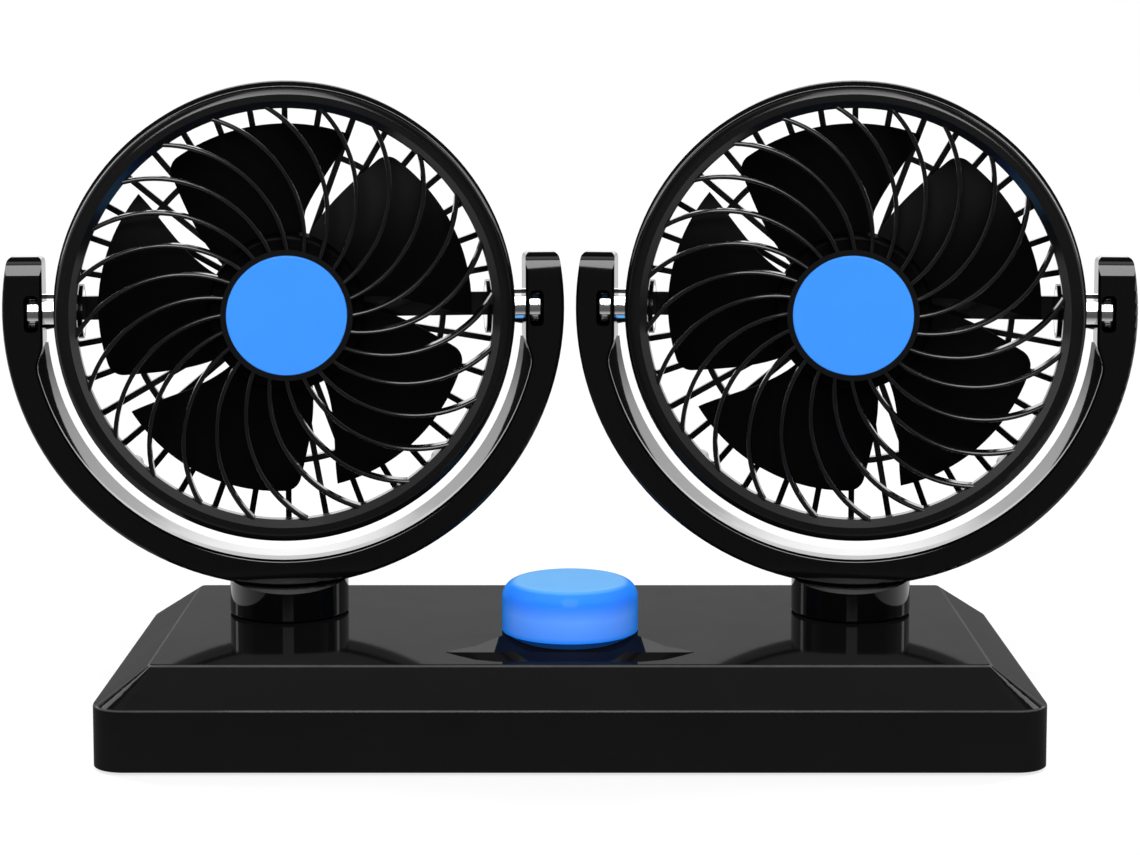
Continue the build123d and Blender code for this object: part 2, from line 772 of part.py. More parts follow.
# The yoke is a round bar of a half circle, thicker inside at the two pivot pads
def make_yoke(front):
    inner_radius = yoke_radius - yoke_thickness
    slope_end = -pad_drop - pad_slope_drop
    with BuildPart() as yoke:
        with BuildSketch(front) as outline:
            Circle(yoke_radius)
            Circle(inner_radius, mode=Mode.SUBTRACT)
            with Locations((0, arm_rise)):
                Rectangle(
                    2 * yoke_radius,
                    yoke_radius,
                    align=(Align.CENTER, Align.MIN),
                    mode=Mode.SUBTRACT,
                )
            for side in (-1, 1):
                slope_x = math.sqrt(inner_radius**2 - slope_end**2)
                with BuildLine():
                    Polyline(
                        (side * pin_face, arm_rise),
                        (side * pin_face, -pad_drop),
                        (side * slope_x, slope_end),
                        (side * (inner_radius + yoke_thickness / 2), slope_end),
                        (side * (inner_radius + yoke_thickness / 2), arm_rise),
                        close=True,
                    )
                make_face()
            fillet(outline.vertices().filter_by(lambda corner: corner.Y < 0), pad_slope_round)
            fillet(outline.vertices().group_by(Axis.Y)[-1], arm_corner)
        extrude(amount=yoke_depth / 2, both=True)
        faces = yoke.faces().filter_by(Axis.Y).sort_by(Axis.Y)
        fillet(faces[0].outer_wire().edges() + faces[-1].outer_wire().edges(), yoke_edge_round)
        # The arms' ends are rounded from front to back
        with BuildSketch(Plane(origin=front.origin, x_dir=(0, 1, 0), z_dir=(1, 0, 0))) as side_view:
            with Locations((0, arm_rise)):
                Rectangle(yoke_depth, arm_rise + yoke_radius, align=(Align.CENTER, Align.MAX))
            fillet(side_view.vertices().group_by(Axis.Y)[-1], arm_top_round)
        extrude(amount=yoke_radius, both=True, mode=Mode.INTERSECT)
        add(make_flare(front))
        # Blind bores for the pins, each seen through a window in the front of its arm
        for side in (-1, 1):
            mouth = front.origin + Vector(side * (pin_face - overrun), 0, 0)
            with BuildSketch(Plane(origin=mouth, z_dir=(side, 0, 0))):
                Circle(pin_radius + shaft_play)
            extrude(amount=pin_reach + overrun + move_gap, mode=Mode.SUBTRACT)
            window_width = pin_reach + move_gap - window_lip
            with BuildSketch(front):
                with Locations((side * (pin_face + window_lip + window_width / 2), 0)):
                    RectangleRounded(window_width, 2 * (pin_radius + shaft_play), window_corner)
            extrude(amount=yoke_depth, mode=Mode.SUBTRACT)
        with BuildSketch(Plane.XY.offset(spigot_bottom)):
            with Locations((front.origin.X, front.origin.Y)):
                with Locations((-yoke_screw_x, 0), (yoke_screw_x, 0)):
                    Circle(yoke_screw_radius + press_play)
        extrude(amount=yoke_screw_top + move_gap - spigot_bottom, mode=Mode.SUBTRACT)
    return yoke


def make_pivot_pins(front):
    with BuildPart() as pins:
        for side in (-1, 1):
            root = Plane(origin=front.origin + Vector(side * pin_root, 0, 0), z_dir=(side, 0, 0))
            with BuildSketch(root):
                Circle(pin_radius)
            extrude(amount=pin_end - pin_root)
            with BuildSketch(root):
                Circle(pin_head_radius)
            extrude(amount=-pin_head_thickness)
        ends = pins.faces().filter_by(Axis.X).sort_by(Axis.X)
        fillet([ends[0].edges(), ends[-1].edges()], pin_end_round)
    return pins


def make_front_guard(front, section, axis):
    places = ring_places(guard_screw_circle, guard_screw_count, guard_screw_start)
    with BuildPart(front) as guard:
        with BuildSketch(section):
            with BuildLine():
                Polyline(
                    (lip_radius, ring_front - lip_bevel_depth),
                    (lip_radius + lip_bevel_width, ring_front),
                    (front_radius - ring_front_round, ring_front),
                )
                RadiusArc(
                    (front_radius - ring_front_round, ring_front),
                    (front_radius, ring_front - ring_front_round),
                    ring_front_round,
                )
                Polyline(
                    (front_radius, ring_front - ring_front_round),
                    (front_radius, ring_seam),
                    (front_radius - ring_wall, ring_seam),
                    (front_radius - ring_wall, ring_front - lip_depth),
                    (lip_radius, ring_front - lip_depth),
                    (lip_radius, ring_front - lip_bevel_depth),
                )
            make_face()
        revolve(axis=axis)
        with BuildSketch(front.offset(guard_hub_front - guard_hub_thickness)):
            Circle(guard_hub_radius)
        extrude(amount=guard_hub_thickness)
        with PolarLocations(0, spoke_count):
            add(spoke.part)
        with BuildSketch(front.offset(guard_hub_front - badge_thickness + badge_proud)):
            Circle(badge_radius + seat_play)
        extrude(amount=badge_thickness, mode=Mode.SUBTRACT)
        # Bosses behind the lip for the screws that hold the two guards together
        with BuildSketch(front.offset(ring_seam)):
            with Locations(*places):
                Circle(guard_boss_radius)
        extrude(amount=ring_front - lip_bevel_depth - ring_seam)
        with BuildSketch(front.offset(ring_seam)):
            with Locations(*places):
                Circle(guard_screw_radius + press_play)
        extrude(amount=guard_screw_length - guard_lug_thickness + move_gap, mode=Mode.SUBTRACT)
    return guard


def make_badge(front):
    with BuildPart() as badge:
        with BuildSketch(front.offset(guard_hub_front - badge_thickness + badge_proud)):
            Circle(badge_radius)
        extrude(amount=badge_thickness)
        fillet(badge.faces().sort_by(Axis.Y)[0].edges(), badge_edge_round)
    return badge


def make_rear_guard(front, section, axis):
    places = ring_places(guard_screw_circle, guard_screw_count, guard_screw_start)
    with BuildPart(front) as guard:
        with BuildSketch(section):
            with BuildLine():
                Polyline(
                    (ring_radius - ring_wall, ring_seam),
                    (ring_radius, ring_seam),
                    (ring_radius, ring_back_round - ring_back),
                )
                RadiusArc(
                    (ring_radius, ring_back_round - ring_back),
                    (ring_radius - ring_back_round, -ring_back),
                    ring_back_round,
                )
                Polyline(
                    (ring_radius - ring_back_round, -ring_back),
                    (ring_radius - ring_wall, -ring_back),
                    (ring_radius - ring_wall, ring_seam),
                )
            make_face()
        revolve(axis=axis)
        rib_out = ring_radius - ring_wall / 2
        rib_in = cup_radius - motor_cup_wall / 2
        with BuildSketch(front.offset(-ring_back)):
            with PolarLocations((rib_in + rib_out) / 2, rib_count):
                Rectangle(rib_out - rib_in, rib_width)
            with PolarLocations((rib_in + rib_out) / 2, 2):
                Rectangle(rib_out - rib_in, wide_rib_width)
            Circle(cup_radius - motor_cup_wall / 2, mode=Mode.SUBTRACT)
        extrude(amount=rib_depth)
        with BuildSketch(front.offset(-ring_back)):
            Circle(rib_ring_radius + rib_width / 2)
            Circle(rib_ring_radius - rib_width / 2, mode=Mode.SUBTRACT)
        extrude(amount=rib_depth)
        # The cup that carries the motor
        with BuildSketch(front.offset(cup_floor - motor_cup_wall)):
            Circle(cup_radius)
        extrude(amount=motor_cup_mouth - cup_floor + motor_cup_wall)
        with BuildSketch(front.offset(cup_floor)):
            Circle(can_radius + press_play)
        extrude(amount=motor_cup_mouth - cup_floor, mode=Mode.SUBTRACT)
        with BuildSketch(front.offset(cup_floor - motor_cup_wall)):
            with Locations((-motor_screw_spacing / 2, 0), (motor_screw_spacing / 2, 0)):
                Circle(motor_screw_radius + seat_play)
        extrude(amount=motor_cup_wall, mode=Mode.SUBTRACT)
        # Lugs for the guard screws, and a boss inside the ring that a pivot pin's head is sunk into
        with BuildSketch(front.offset(ring_seam)):
            with Locations(*places):
                Circle(guard_boss_radius)
        extrude(amount=-guard_lug_thickness)
        with BuildSketch(front.offset(ring_seam)):
            with Locations(*places):
                Circle(guard_screw_radius + seat_play)
        extrude(amount=-guard_lug_thickness, mode=Mode.SUBTRACT)
        for side in (-1, 1):
            inner = Plane(origin=front.origin + Vector(side * pin_head_face, 0, 0), z_dir=(side, 0, 0))
            with BuildSketch(inner):
                Circle(pin_boss_radius)
            extrude(amount=ring_radius - ring_wall / 2 - pin_head_face)
            with BuildSketch(inner):
                Circle(pin_radius + press_play)
            extrude(amount=pin_boss_depth + overrun, mode=Mode.SUBTRACT)
            with BuildSketch(inner):
                Circle(pin_head_radius + seat_play)
            extrude(amount=pin_head_thickness, mode=Mode.SUBTRACT)
    return guard


def make_guard_screws(front):
    return screws(
        front.offset(ring_seam - guard_lug_thickness - guard_screw_head_height),
        ring_places(guard_screw_circle, guard_screw_count, guard_screw_start),
        guard_screw_head_radius,
        guard_screw_head_height,
        guard_screw_radius,
        guard_screw_length,
    )


def make_motor_screws(front):
    return screws(
        front.offset(cup_floor - motor_cup_wall - motor_screw_head_height),
        [(-motor_screw_spacing / 2, 0), (motor_screw_spacing / 2, 0)],
        motor_screw_head_radius,
        motor_screw_head_height,
        motor_screw_radius,
        motor_screw_length,
    )


def make_motor_can(front):
    with BuildPart() as can:
        with BuildSketch(front.offset(can_back)):
            Circle(can_radius)
        extrude(amount=can_front - can_back)
        with BuildSketch(front.offset(can_back)):
            Circle(can_radius - can_wall)
        extrude(amount=can_inside - can_back, mode=Mode.SUBTRACT)
        with BuildSketch(front.offset(can_inside)):
            Circle(nose_radius)
        extrude(amount=can_wall + nose_length)
        with BuildSketch(front.offset(can_inside)):
            Circle(bush_radius + press_play)
        extrude(amount=can_wall + nose_length, mode=Mode.SUBTRACT)
        fillet(can.edges().filter_by(GeomType.CIRCLE).group_by(Axis.Y)[0], can_edge_round)
    return can


def make_end_cap(front):
    with BuildPart() as cap:
        with BuildSketch(front.offset(end_cap_back)):
            Circle(can_radius)
            Circle(bush_radius + press_play, mode=Mode.SUBTRACT)
            with Locations((-motor_screw_spacing / 2, 0), (motor_screw_spacing / 2, 0)):
                Circle(motor_screw_radius + press_play, mode=Mode.SUBTRACT)
        extrude(amount=end_cap_thickness)
    return cap


def make_magnets(front):
    outer = can_radius - can_wall - press_play
    gap_width = 2 * outer * math.cos(math.radians(magnet_angle / 2))
    with BuildPart() as magnets:
        with BuildSketch(front.offset(can_inside - magnet_length)):
            Circle(outer)
            Circle(outer - magnet_thickness, mode=Mode.SUBTRACT)
            Rectangle(gap_width, 2 * outer, mode=Mode.SUBTRACT)
        extrude(amount=magnet_length - press_play)
    return magnets


def make_bushes(front):
    with BuildPart() as bushes:
        with BuildSketch(front.offset(can_inside)):
            Circle(bush_radius)
            Circle(shaft_radius + shaft_play, mode=Mode.SUBTRACT)
        extrude(amount=bush_length)
        with BuildSketch(front.offset(end_cap_back)):
            Circle(bush_radius)
            Circle(shaft_radius + shaft_play, mode=Mode.SUBTRACT)
        extrude(amount=bush_length)
    return bushes


def make_shaft(front):
    with BuildPart() as shaft:
        with BuildSketch(front.offset(end_cap_back + press_play)):
            Circle(shaft_radius)
        extrude(amount=shaft_front - end_cap_back - press_play)
    return shaft


# The armature: a slotted iron core with its commutator behind it, on the motor's shaft
def make_armature(front):
    core_back = can_inside - magnet_length / 2 - armature_length / 2
    with BuildPart(front) as armature:
        with BuildSketch(front.offset(core_back)):
            Circle(armature_radius)
            with PolarLocations(armature_radius - armature_slot_depth / 2, armature_slot_count):
                Rectangle(armature_slot_depth + overrun, armature_slot_width, mode=Mode.SUBTRACT)
            Circle(shaft_radius + press_play, mode=Mode.SUBTRACT)
        extrude(amount=armature_length)
        with BuildSketch(front.offset(core_back)):
            Circle(commutator_radius)
            Circle(shaft_radius + press_play, mode=Mode.SUBTRACT)
        extrude(amount=-commutator_length)
    return armature


def make_impeller(front):
    with BuildPart(front) as impeller:
        with BuildSketch(front.offset(hub_back)):
            Circle(hub_radius)
        extrude(amount=hub_front - hub_back)
        fillet(impeller.faces().sort_by(Axis.Y)[0].edges(), hub_edge_round)
        with PolarLocations(0, blade_count):
            add(blade.part)
        with BuildSketch(front.offset(hub_back)):
            Circle(hub_radius - hub_wall)
        extrude(amount=hub_front - hub_wall - hub_back, mode=Mode.SUBTRACT)
        boss_back = can_front + nose_length + move_gap
        with BuildSketch(front.offset(boss_back)):
            Circle(hub_boss_radius)
        extrude(amount=hub_front - hub_wall - boss_back)
        with BuildSketch(front.offset(boss_back)):
            Circle(shaft_radius + press_play)
        extrude(amount=shaft_front + press_play - boss_back, mode=Mode.SUBTRACT)
    return impeller


# Each head is built facing the front, then turned on its post a little towards the middle, as it
# stands in the photo
for side_name, post_place, turn in zip(("left", "right"), post_places, (toe_in, -toe_in)):
    # The head's own planes: its front view, and the half section that is turned round its axis
    head_centre = (*post_place, pivot_height)
    front_view = Plane(origin=head_centre, x_dir=(1, 0, 0), z_dir=(0, -1, 0))
    half_section = Plane(origin=head_centre, x_dir=(1, 0, 0), z_dir=(0, 0, -1))
    spin_axis = Axis(head_centre, (0, -1, 0))
    keep(make_post(front_view), f"{side_name}_swivel_post", post_place, turn)
    keep(make_swivel_washer(front_view), f"{side_name}_swivel_washer", post_place, turn)
    keep(make_keeper(front_view), f"{side_name}_swivel_keeper", post_place, turn)
    keep(make_keeper_screws(front_view), f"{side_name}_keeper_screws", post_place, turn)
    keep(make_yoke_screws(front_view), f"{side_name}_yoke_screws", post_place, turn)
    keep(make_yoke(front_view), f"{side_name}_yoke", post_place, turn)
    keep(make_pivot_pins(front_view), f"{side_name}_pivot_pins", post_place, turn)
    keep(make_front_guard(front_view, half_section, spin_axis), f"{side_name}_front_guard", post_place, turn)
    keep(make_badge(front_view), f"{side_name}_badge", post_place, turn)
    keep(make_rear_guard(front_view, half_section, spin_axis), f"{side_name}_rear_guard", post_place, turn)
    keep(make_guard_screws(front_view), f"{side_name}_guard_screws", post_place, turn)
    keep(make_motor_screws(front_view), f"{side_name}_motor_screws", post_place, turn)
    keep(make_motor_can(front_view), f"{side_name}_motor_can", post_place, turn)
    keep(make_end_cap(front_view), f"{side_name}_motor_end_cap", post_place, turn)
    keep(make_magnets(front_view), f"{side_name}_motor_magnets", post_place, turn)
    keep(make_bushes(front_view), f"{side_name}_motor_bushes", post_place, turn)
    keep(make_shaft(front_view), f"{side_name}_motor_shaft", post_place, turn)
    keep(make_armature(front_view), f"{side_name}_armature", post_place, turn)
    keep(make_impeller(front_view), f"{side_name}_impeller", post_place, turn)
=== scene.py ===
import math

import bpy
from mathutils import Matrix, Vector


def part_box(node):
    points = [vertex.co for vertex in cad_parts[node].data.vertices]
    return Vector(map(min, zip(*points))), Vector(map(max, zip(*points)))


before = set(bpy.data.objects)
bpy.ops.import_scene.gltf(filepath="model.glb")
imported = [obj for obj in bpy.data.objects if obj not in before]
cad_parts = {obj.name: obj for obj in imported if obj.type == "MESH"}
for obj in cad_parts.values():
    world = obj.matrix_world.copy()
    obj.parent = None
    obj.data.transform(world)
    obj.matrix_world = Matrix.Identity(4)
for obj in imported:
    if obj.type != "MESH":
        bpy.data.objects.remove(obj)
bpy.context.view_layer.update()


# Base cover: one injection moulding in black plastic, polished in the tool, with a sloping
# shoulder round a flat top, a round well for the knob and a shallow finger scoop before it.
class Wire:
    """One output in a material's nodes. Arithmetic on wires adds Math nodes."""

    def __init__(self, tree, socket=None):
        self.tree = tree
        self.socket = socket

    def add(self, kind, settings=None, values=None, out=0):
        node = self.tree.nodes.new("ShaderNode" + kind)
        for name, value in (settings or {}).items():
            if name == "stops":
                ramp = node.color_ramp
                while len(ramp.elements) < len(value):
                    ramp.elements.new(0.5)
                for element, (place, colour) in zip(ramp.elements, value):
                    element.position = place
                    element.color = (*colour, 1)
            else:
                setattr(node, name, value)
        for name, value in (values or {}).items():
            if isinstance(value, Wire):
                self.tree.links.new(value.socket, node.inputs[name])
            else:
                node.inputs[name].default_value = value
        return Wire(self.tree, node.outputs[out] if node.outputs else None)

    def math(self, operation, *others):
        return self.add("Math", {"operation": operation}, dict(enumerate((self, *others))))

    def __add__(self, other):
        return self.math("ADD", other)

    def __sub__(self, other):
        return self.math("SUBTRACT", other)

    def __mul__(self, other):
        return self.math("MULTIPLY", other)

    def __rsub__(self, other):
        return self.add("Math", {"operation": "SUBTRACT"}, {0: other, 1: self})

    __radd__ = __add__
    __rmul__ = __mul__

    def held(self):
        return self.add("Clamp", {}, {0: self})

    def blend(self, low, high):
        """A colour between low and high."""
        return self.add("Mix", {"data_type": "RGBA"}, {0: self, 6: (*low, 1), 7: (*high, 1)}, out=2)


def new_finish(name):
    """A material with an empty tree, its Object coordinates and its Principled shader."""
    material = bpy.data.materials.new(name)
    material.use_nodes = True
    tree = material.node_tree
    tree.nodes.clear()
    start = Wire(tree)
    place = start.add("TexCoord", out=3)
    shader = start.add("BsdfPrincipled")
    start.add("OutputMaterial", {}, {"Surface": shader})
    return material, place, shader.socket.node


def spots(place, size, detail=2.0, rough=0.5):
    """Noise whose spots are about this many metres across."""
    values = {"Vector": place, "Scale": 1 / size, "Detail": detail, "Roughness": rough}
    return place.add("TexNoise", {}, values)


def set_finish(shader, place, constants, colour=None, roughness=None, height=None, depth=0.0, coat=None):
    """Constants go on the shader's own sockets; what varies is linked, and height becomes a bump."""
    tree = shader.id_data
    for name, value in constants.items():
        shader.inputs[name].default_value = value
    for name, wire in (("Base Color", colour), ("Roughness", roughness), ("Coat Weight", coat)):
        if wire is not None:
            tree.links.new(wire.socket, shader.inputs[name])
    if height is not None:
        bump = place.add("Bump", {}, {"Strength": 1.0, "Distance": depth, "Height": height})
        tree.links.new(bump.socket, shader.inputs["Normal"])


def moulded(name, dark, light, dull, bright, grain, grain_depth, coat_low, coat_high, coat_rough,
            satin=None, edge_highlight=None):
    """Moulded plastic: a fine grain, cloudy flow marks, and a skin that is a little uneven. Where
    satin(place) is 1, the polish is taken off, and where the painted highlight mask is 1, the black is
    painted grey as a painted highlight."""
    material, place, shader = new_finish(name)
    clouds = spots(place, 0.018, 3.0, 0.55)
    smears = spots(place, 0.006, 4.0, 0.65)
    grains = spots(place, grain, 2.0, 0.6)
    waves = spots(place, 0.0035, 1.0, 0.4)
    coat = coat_low + (coat_high - coat_low) * (clouds * 0.5 + smears * 0.5)
    if satin:
        coat = coat * (1 - satin(place))
    colour = (clouds * 0.6 + grains * 0.4).blend(dark, light)
    # Painted highlight: where the mask is 1, the colour is mixed towards grey.
    if edge_highlight:
        highlight_grey = (0.1, 0.1, 0.102, 1)
        colour = place.add("Mix", {"data_type": "RGBA"}, {0: edge_highlight(place), 6: colour, 7: highlight_grey}, out=2)
    set_finish(
        shader,
        place,
        {"Specular IOR Level": 0.0, "Coat IOR": 1.5, "Coat Roughness": coat_rough},
        colour=colour,
        roughness=bright + (dull - bright) * smears,
        height=grains * 0.7 + waves * 0.5,
        depth=grain_depth,
        coat=coat,
    )
    return material


def dress(material, *nodes):
    for node in nodes:
        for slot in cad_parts[node].material_slots:
            slot.material = material


base_low, base_high = (Vector(corner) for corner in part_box("base_cover"))
skirt_height = 0.0144
shoulder_height = 0.0086
shoulder_across = 0.013
shoulder_deep = 0.0095
line_height = 0.0003


def painted_edge_highlights(place):
    """Painted highlight lines along the edges above and below the shoulder, uneven in strength."""
    across, deep, up = (place.add("SeparateXYZ", {}, {0: place}, out=number) for number in range(3))
    past_side = across.math("ABSOLUTE") - (base_high.x - shoulder_across)
    past_front = deep.math("ABSOLUTE") - (base_high.y - shoulder_deep)
    outside = (past_side.math("MAXIMUM", past_front) * 5000.0 + 1.0).held()
    skirt_top = base_low.z + skirt_height
    plate_line = skirt_top + shoulder_height - line_height
    high = (1 - (up - plate_line).math("ABSOLUTE") * (1 / line_height)).held() * outside
    low = (1 - (up - skirt_top).math("ABSOLUTE") * (1 / line_height)).held()
    # Random strength along the painted highlight lines.
    highlight_strength = 0.6 + 0.5 * spots(place, 0.006, 3.0, 0.6)
    return (high + low * 0.8) * highlight_strength


# The base's black, with painted highlight lines along the edges of its shoulder.
base_black = moulded(
    "base_black", (0.0032, 0.0032, 0.0035), (0.0056, 0.0056, 0.0062), dull=0.42, bright=0.3, grain=0.0008,
    grain_depth=0.000006, coat_low=0.115, coat_high=0.15, coat_rough=0.06, edge_highlight=painted_edge_highlights,
)
dress(base_black, "base_cover")


# Base lid: a flat moulding in the same black, finely spark eroded and never polished, with the
# foam pad that holds the fan stuck under it and four zinc plated screws round its edge.
lid_black = moulded(
    "lid_black", (0.006, 0.006, 0.0065), (0.014, 0.014, 0.015), dull=0.75, bright=0.55, grain=0.0005,
    grain_depth=0.00004, coat_low=0.04, coat_high=0.1, coat_rough=0.3,
)
dress(lid_black, "base_lid", "left_motor_end_cap", "right_motor_end_cap")

pad_foam, place, shader = new_finish("pad_foam")
cells = place.add("TexVoronoi", {}, {"Vector": place, "Scale": 1100.0})
soil = spots(place, 0.012, 3.0)
set_finish(
    shader,
    place,
    {"Specular IOR Level": 0.2},
    colour=(cells * 0.7 + soil * 0.3).blend((0.02, 0.02, 0.021), (0.075, 0.074, 0.072)),
    roughness=0.8 + 0.15 * soil,
    height=cells,
    depth=0.0004,
)
dress(pad_foam, "mounting_pad")


def plated(name, dark, light, low, high, streak):
    """Plated or ground steel: fine scratches one way over a slightly cloudy skin."""
    material, place, shader = new_finish(name)
    stretched = place.add("Mapping", {}, {"Vector": place, "Scale": streak})
    lines = {"Vector": stretched, "Scale": 900.0, "Detail": 3.0, "Roughness": 0.6}
    scratches = place.add("TexNoise", {}, lines)
    clouds = spots(place, 0.004, 3.0, 0.6)
    set_finish(
        shader,
        place,
        {"Metallic": 1.0},
        colour=(clouds * 0.5 + scratches * 0.5).blend(dark, light),
        roughness=low + (high - low) * (scratches * 0.6 + clouds * 0.4),
        height=scratches,
        depth=0.00001,
    )
    return material


screw_zinc = plated("screw_zinc", (0.34, 0.34, 0.35), (0.62, 0.62, 0.63), 0.22, 0.45, (1, 1, 1))
dress(screw_zinc, "base_screws", "board_screws", "switch_nut")
for side in ("left", "right"):
    dress(screw_zinc, f"{side}_keeper_screws", f"{side}_yoke_screws", f"{side}_motor_screws")


# Cable inlet: a soft rubber grommet pressed into the back wall. It has a fine bloom on it.
grommet_rubber, place, shader = new_finish("grommet_rubber")
bloom = spots(place, 0.002, 4.0, 0.6)
set_finish(
    shader,
    place,
    {"Specular IOR Level": 0.35},
    colour=bloom.blend((0.008, 0.008, 0.008), (0.028, 0.028, 0.027)),
    roughness=0.55 + 0.25 * bloom,
    height=bloom,
    depth=0.00008,
)
dress(grommet_rubber, "cable_grommet")


# Inside the base: a rotary switch with a moulded body, held by its nut, on a small green board
# with three nylon plugs for the leads.
switch_black = moulded(
    "switch_black", (0.012, 0.012, 0.013), (0.03, 0.03, 0.032), dull=0.6, bright=0.45, grain=0.0004,
    grain_depth=0.00002, coat_low=0.1, coat_high=0.2, coat_rough=0.3,
)
dress(switch_black, "rotary_switch")
board_green, place, shader = new_finish("board_green")
tracks = place.add("TexBrick", {"offset": 0.5}, {"Vector": place, "Scale": 260.0, "Mortar Size": 0.03})
weave = spots(place, 0.0009, 2.0)
set_finish(
    shader,
    place,
    {"Specular IOR Level": 0.5},
    colour=(0.75 * (1 - tracks) + 0.25 * weave).blend((0.004, 0.055, 0.018), (0.012, 0.13, 0.045)),
    roughness=0.25 + 0.2 * weave,
    height=tracks,
    depth=0.00003,
)
dress(board_green, "circuit_board")
plug_nylon = moulded(
    "plug_nylon", (0.62, 0.58, 0.46), (0.78, 0.75, 0.64), dull=0.5, bright=0.35, grain=0.0006,
    grain_depth=0.00002, coat_low=0.2, coat_high=0.4, coat_rough=0.2,
)
dress(plug_nylon, "board_plugs", "left_swivel_washer", "right_swivel_washer")
keeper_steel = plated("keeper_steel", (0.4, 0.4, 0.41), (0.6, 0.6, 0.6), 0.28, 0.5, (1, 8, 1))
dress(keeper_steel, "left_swivel_keeper", "right_swivel_keeper")
spindle_aluminium = plated("spindle_aluminium", (0.7, 0.71, 0.72), (0.86, 0.86, 0.87), 0.2, 0.35, (1, 1, 12))
dress(spindle_aluminium, "switch_spindle")


# Speed knob: a hollow cap moulded in blue that is slightly clear and polished. Its blue is painted
# by height: painted shade on its foot and shoulder, and painted light along its side and on its top.
knob_low, knob_high = (Vector(corner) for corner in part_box("speed_knob"))
knob_height = knob_high.z - knob_low.z
knob_blue, place, shader = new_finish("knob_blue")
rise = (place.add("SeparateXYZ", {}, {0: place}, out=2) - knob_low.z) * (1 / knob_height)
clouds = spots(place, 0.009, 2.0, 0.5)
waves = spots(place, 0.004, 2.0, 0.5)
facing = place.add("LayerWeight", {}, {"Blend": 0.5}, out=1)
# Painted light and shade by height: a dark painted shade on the foot, painted light on the side, a darker
# band on the shoulder and a lighter top.
painted_light_by_height = rise.add("ValToRGB", {"stops": [
    (0.0, (0.004, 0.03, 0.1)),
    (0.09, (0.01, 0.06, 0.22)),
    (0.13, (0.012, 0.22, 0.95)),
    (0.2, (0.075, 0.27, 0.96)),
    (0.5, (0.1, 0.3, 0.97)),
    (0.78, (0.022, 0.19, 0.93)),
    (0.95, (0.032, 0.23, 0.93)),
    (1.0, (0.14, 0.46, 0.9)),
]}, {0: rise})
top = (rise * 30.0 - 29.0).held()
# Painted edge tint: where the surface turns away from the view, the blue is painted deeper, standing in for
# light through the clear plastic.
painted_edge_mask = ((facing - 0.45) * 2.2).held() * (1 - top)
painted_edge_blue = (0.012, 0.27, 1.0, 1)
painted_light_tint = painted_light_by_height.add("Mix", {"data_type": "RGBA"}, {0: painted_edge_mask, 6: painted_light_by_height, 7: painted_edge_blue}, out=2)
cloudy = clouds.blend((0.88, 0.92, 0.97), (1.0, 1.0, 1.0))
blue = painted_light_tint.add("Mix", {"data_type": "RGBA", "blend_type": "MULTIPLY"}, {0: 1.0, 6: painted_light_tint, 7: cloudy}, out=2)
set_finish(
    shader,
    place,
    {"Specular IOR Level": 0.0, "Coat IOR": 1.5, "Coat Roughness": 0.12},
    colour=blue,
    roughness=0.25 + 0.15 * clouds,
    height=waves,
    depth=0.00003,
    coat=(0.08 + 0.05 * clouds) * (1 - 0.8 * painted_edge_mask),
)
# Painted glow: the painted blue is also given off as light, so the knob glows though it is no lamp.
shader.id_data.links.new(painted_light_tint.socket, shader.inputs["Emission Color"])
shader.inputs["Emission Strength"].default_value = 0.28
dress(knob_blue, "speed_knob")


# Swivel posts and yokes: mouldings in the base's black with a higher polish. Each yoke is
# screwed down on its post from below, and its inner side is as bright as its face.
yoke_black = moulded(
    "yoke_black", (0.0012, 0.0012, 0.0013), (0.0022, 0.0022, 0.0023), dull=0.4, bright=0.28, grain=0.0009,
    grain_depth=0.000004, coat_low=0.88, coat_high=1.0, coat_rough=0.05,
)
dress(yoke_black, "left_swivel_post", "left_yoke", "right_swivel_post", "right_yoke")


# Pivot pins: turned steel, polished and chrome plated. Each passes through one arm of the yoke,
# with its head sunk in a boss inside the rear guard's rim.
pin_chrome, place, shader = new_finish("pin_chrome")
along = place.add("SeparateXYZ", {}, {0: place}, out=0)
turning = (along * 9000.0).math("SINE") * 0.5 + 0.5
haze = spots(place, 0.002, 3.0, 0.6)
set_finish(
    shader,
    place,
    {"Metallic": 1.0},
    colour=haze.blend((0.8, 0.8, 0.81), (0.92, 0.92, 0.93)),
    roughness=0.05 + 0.08 * haze,
    height=turning,
    depth=0.0000006,
)
dress(pin_chrome, "left_pivot_pins", "right_pivot_pins")


# Guards: the front one has its rim, curled spokes and hub in one satin black moulding, and the
# rear one its rim, ribs and motor cup. The rims are less polished than the rest. Four screws
# that are blacked over join the two.
left_low, left_high = (Vector(corner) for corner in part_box("left_front_guard"))
head_middle = (left_low + left_high) / 2
rim_width = 0.0022
rim_start = (left_high.z - left_low.z) / 2 - rim_width


def satin_rim(place):
    """How far the rim's polish is taken off, round the axis of the head on either side."""
    sharpness = 900.0
    most = 0.65
    across = place.add("SeparateXYZ", {}, {0: place}, out=0).math("ABSOLUTE") + head_middle.x
    up = place.add("SeparateXYZ", {}, {0: place}, out=2) - head_middle.z
    reach = (across * across + up * up).math("SQRT")
    return ((reach - rim_start) * sharpness).held() * most


guard_black = moulded(
    "guard_black", (0.0022, 0.0022, 0.0024), (0.0045, 0.0045, 0.0048), dull=0.55, bright=0.4, grain=0.0006,
    grain_depth=0.000008, coat_low=0.8, coat_high=1.0, coat_rough=0.14, satin=satin_rim,
)
dress(guard_black, "left_front_guard", "left_rear_guard", "right_front_guard", "right_rear_guard")
screw_black = plated("screw_black", (0.02, 0.02, 0.021), (0.05, 0.05, 0.052), 0.35, 0.55, (1, 1, 1))
dress(screw_black, "left_guard_screws", "right_guard_screws")


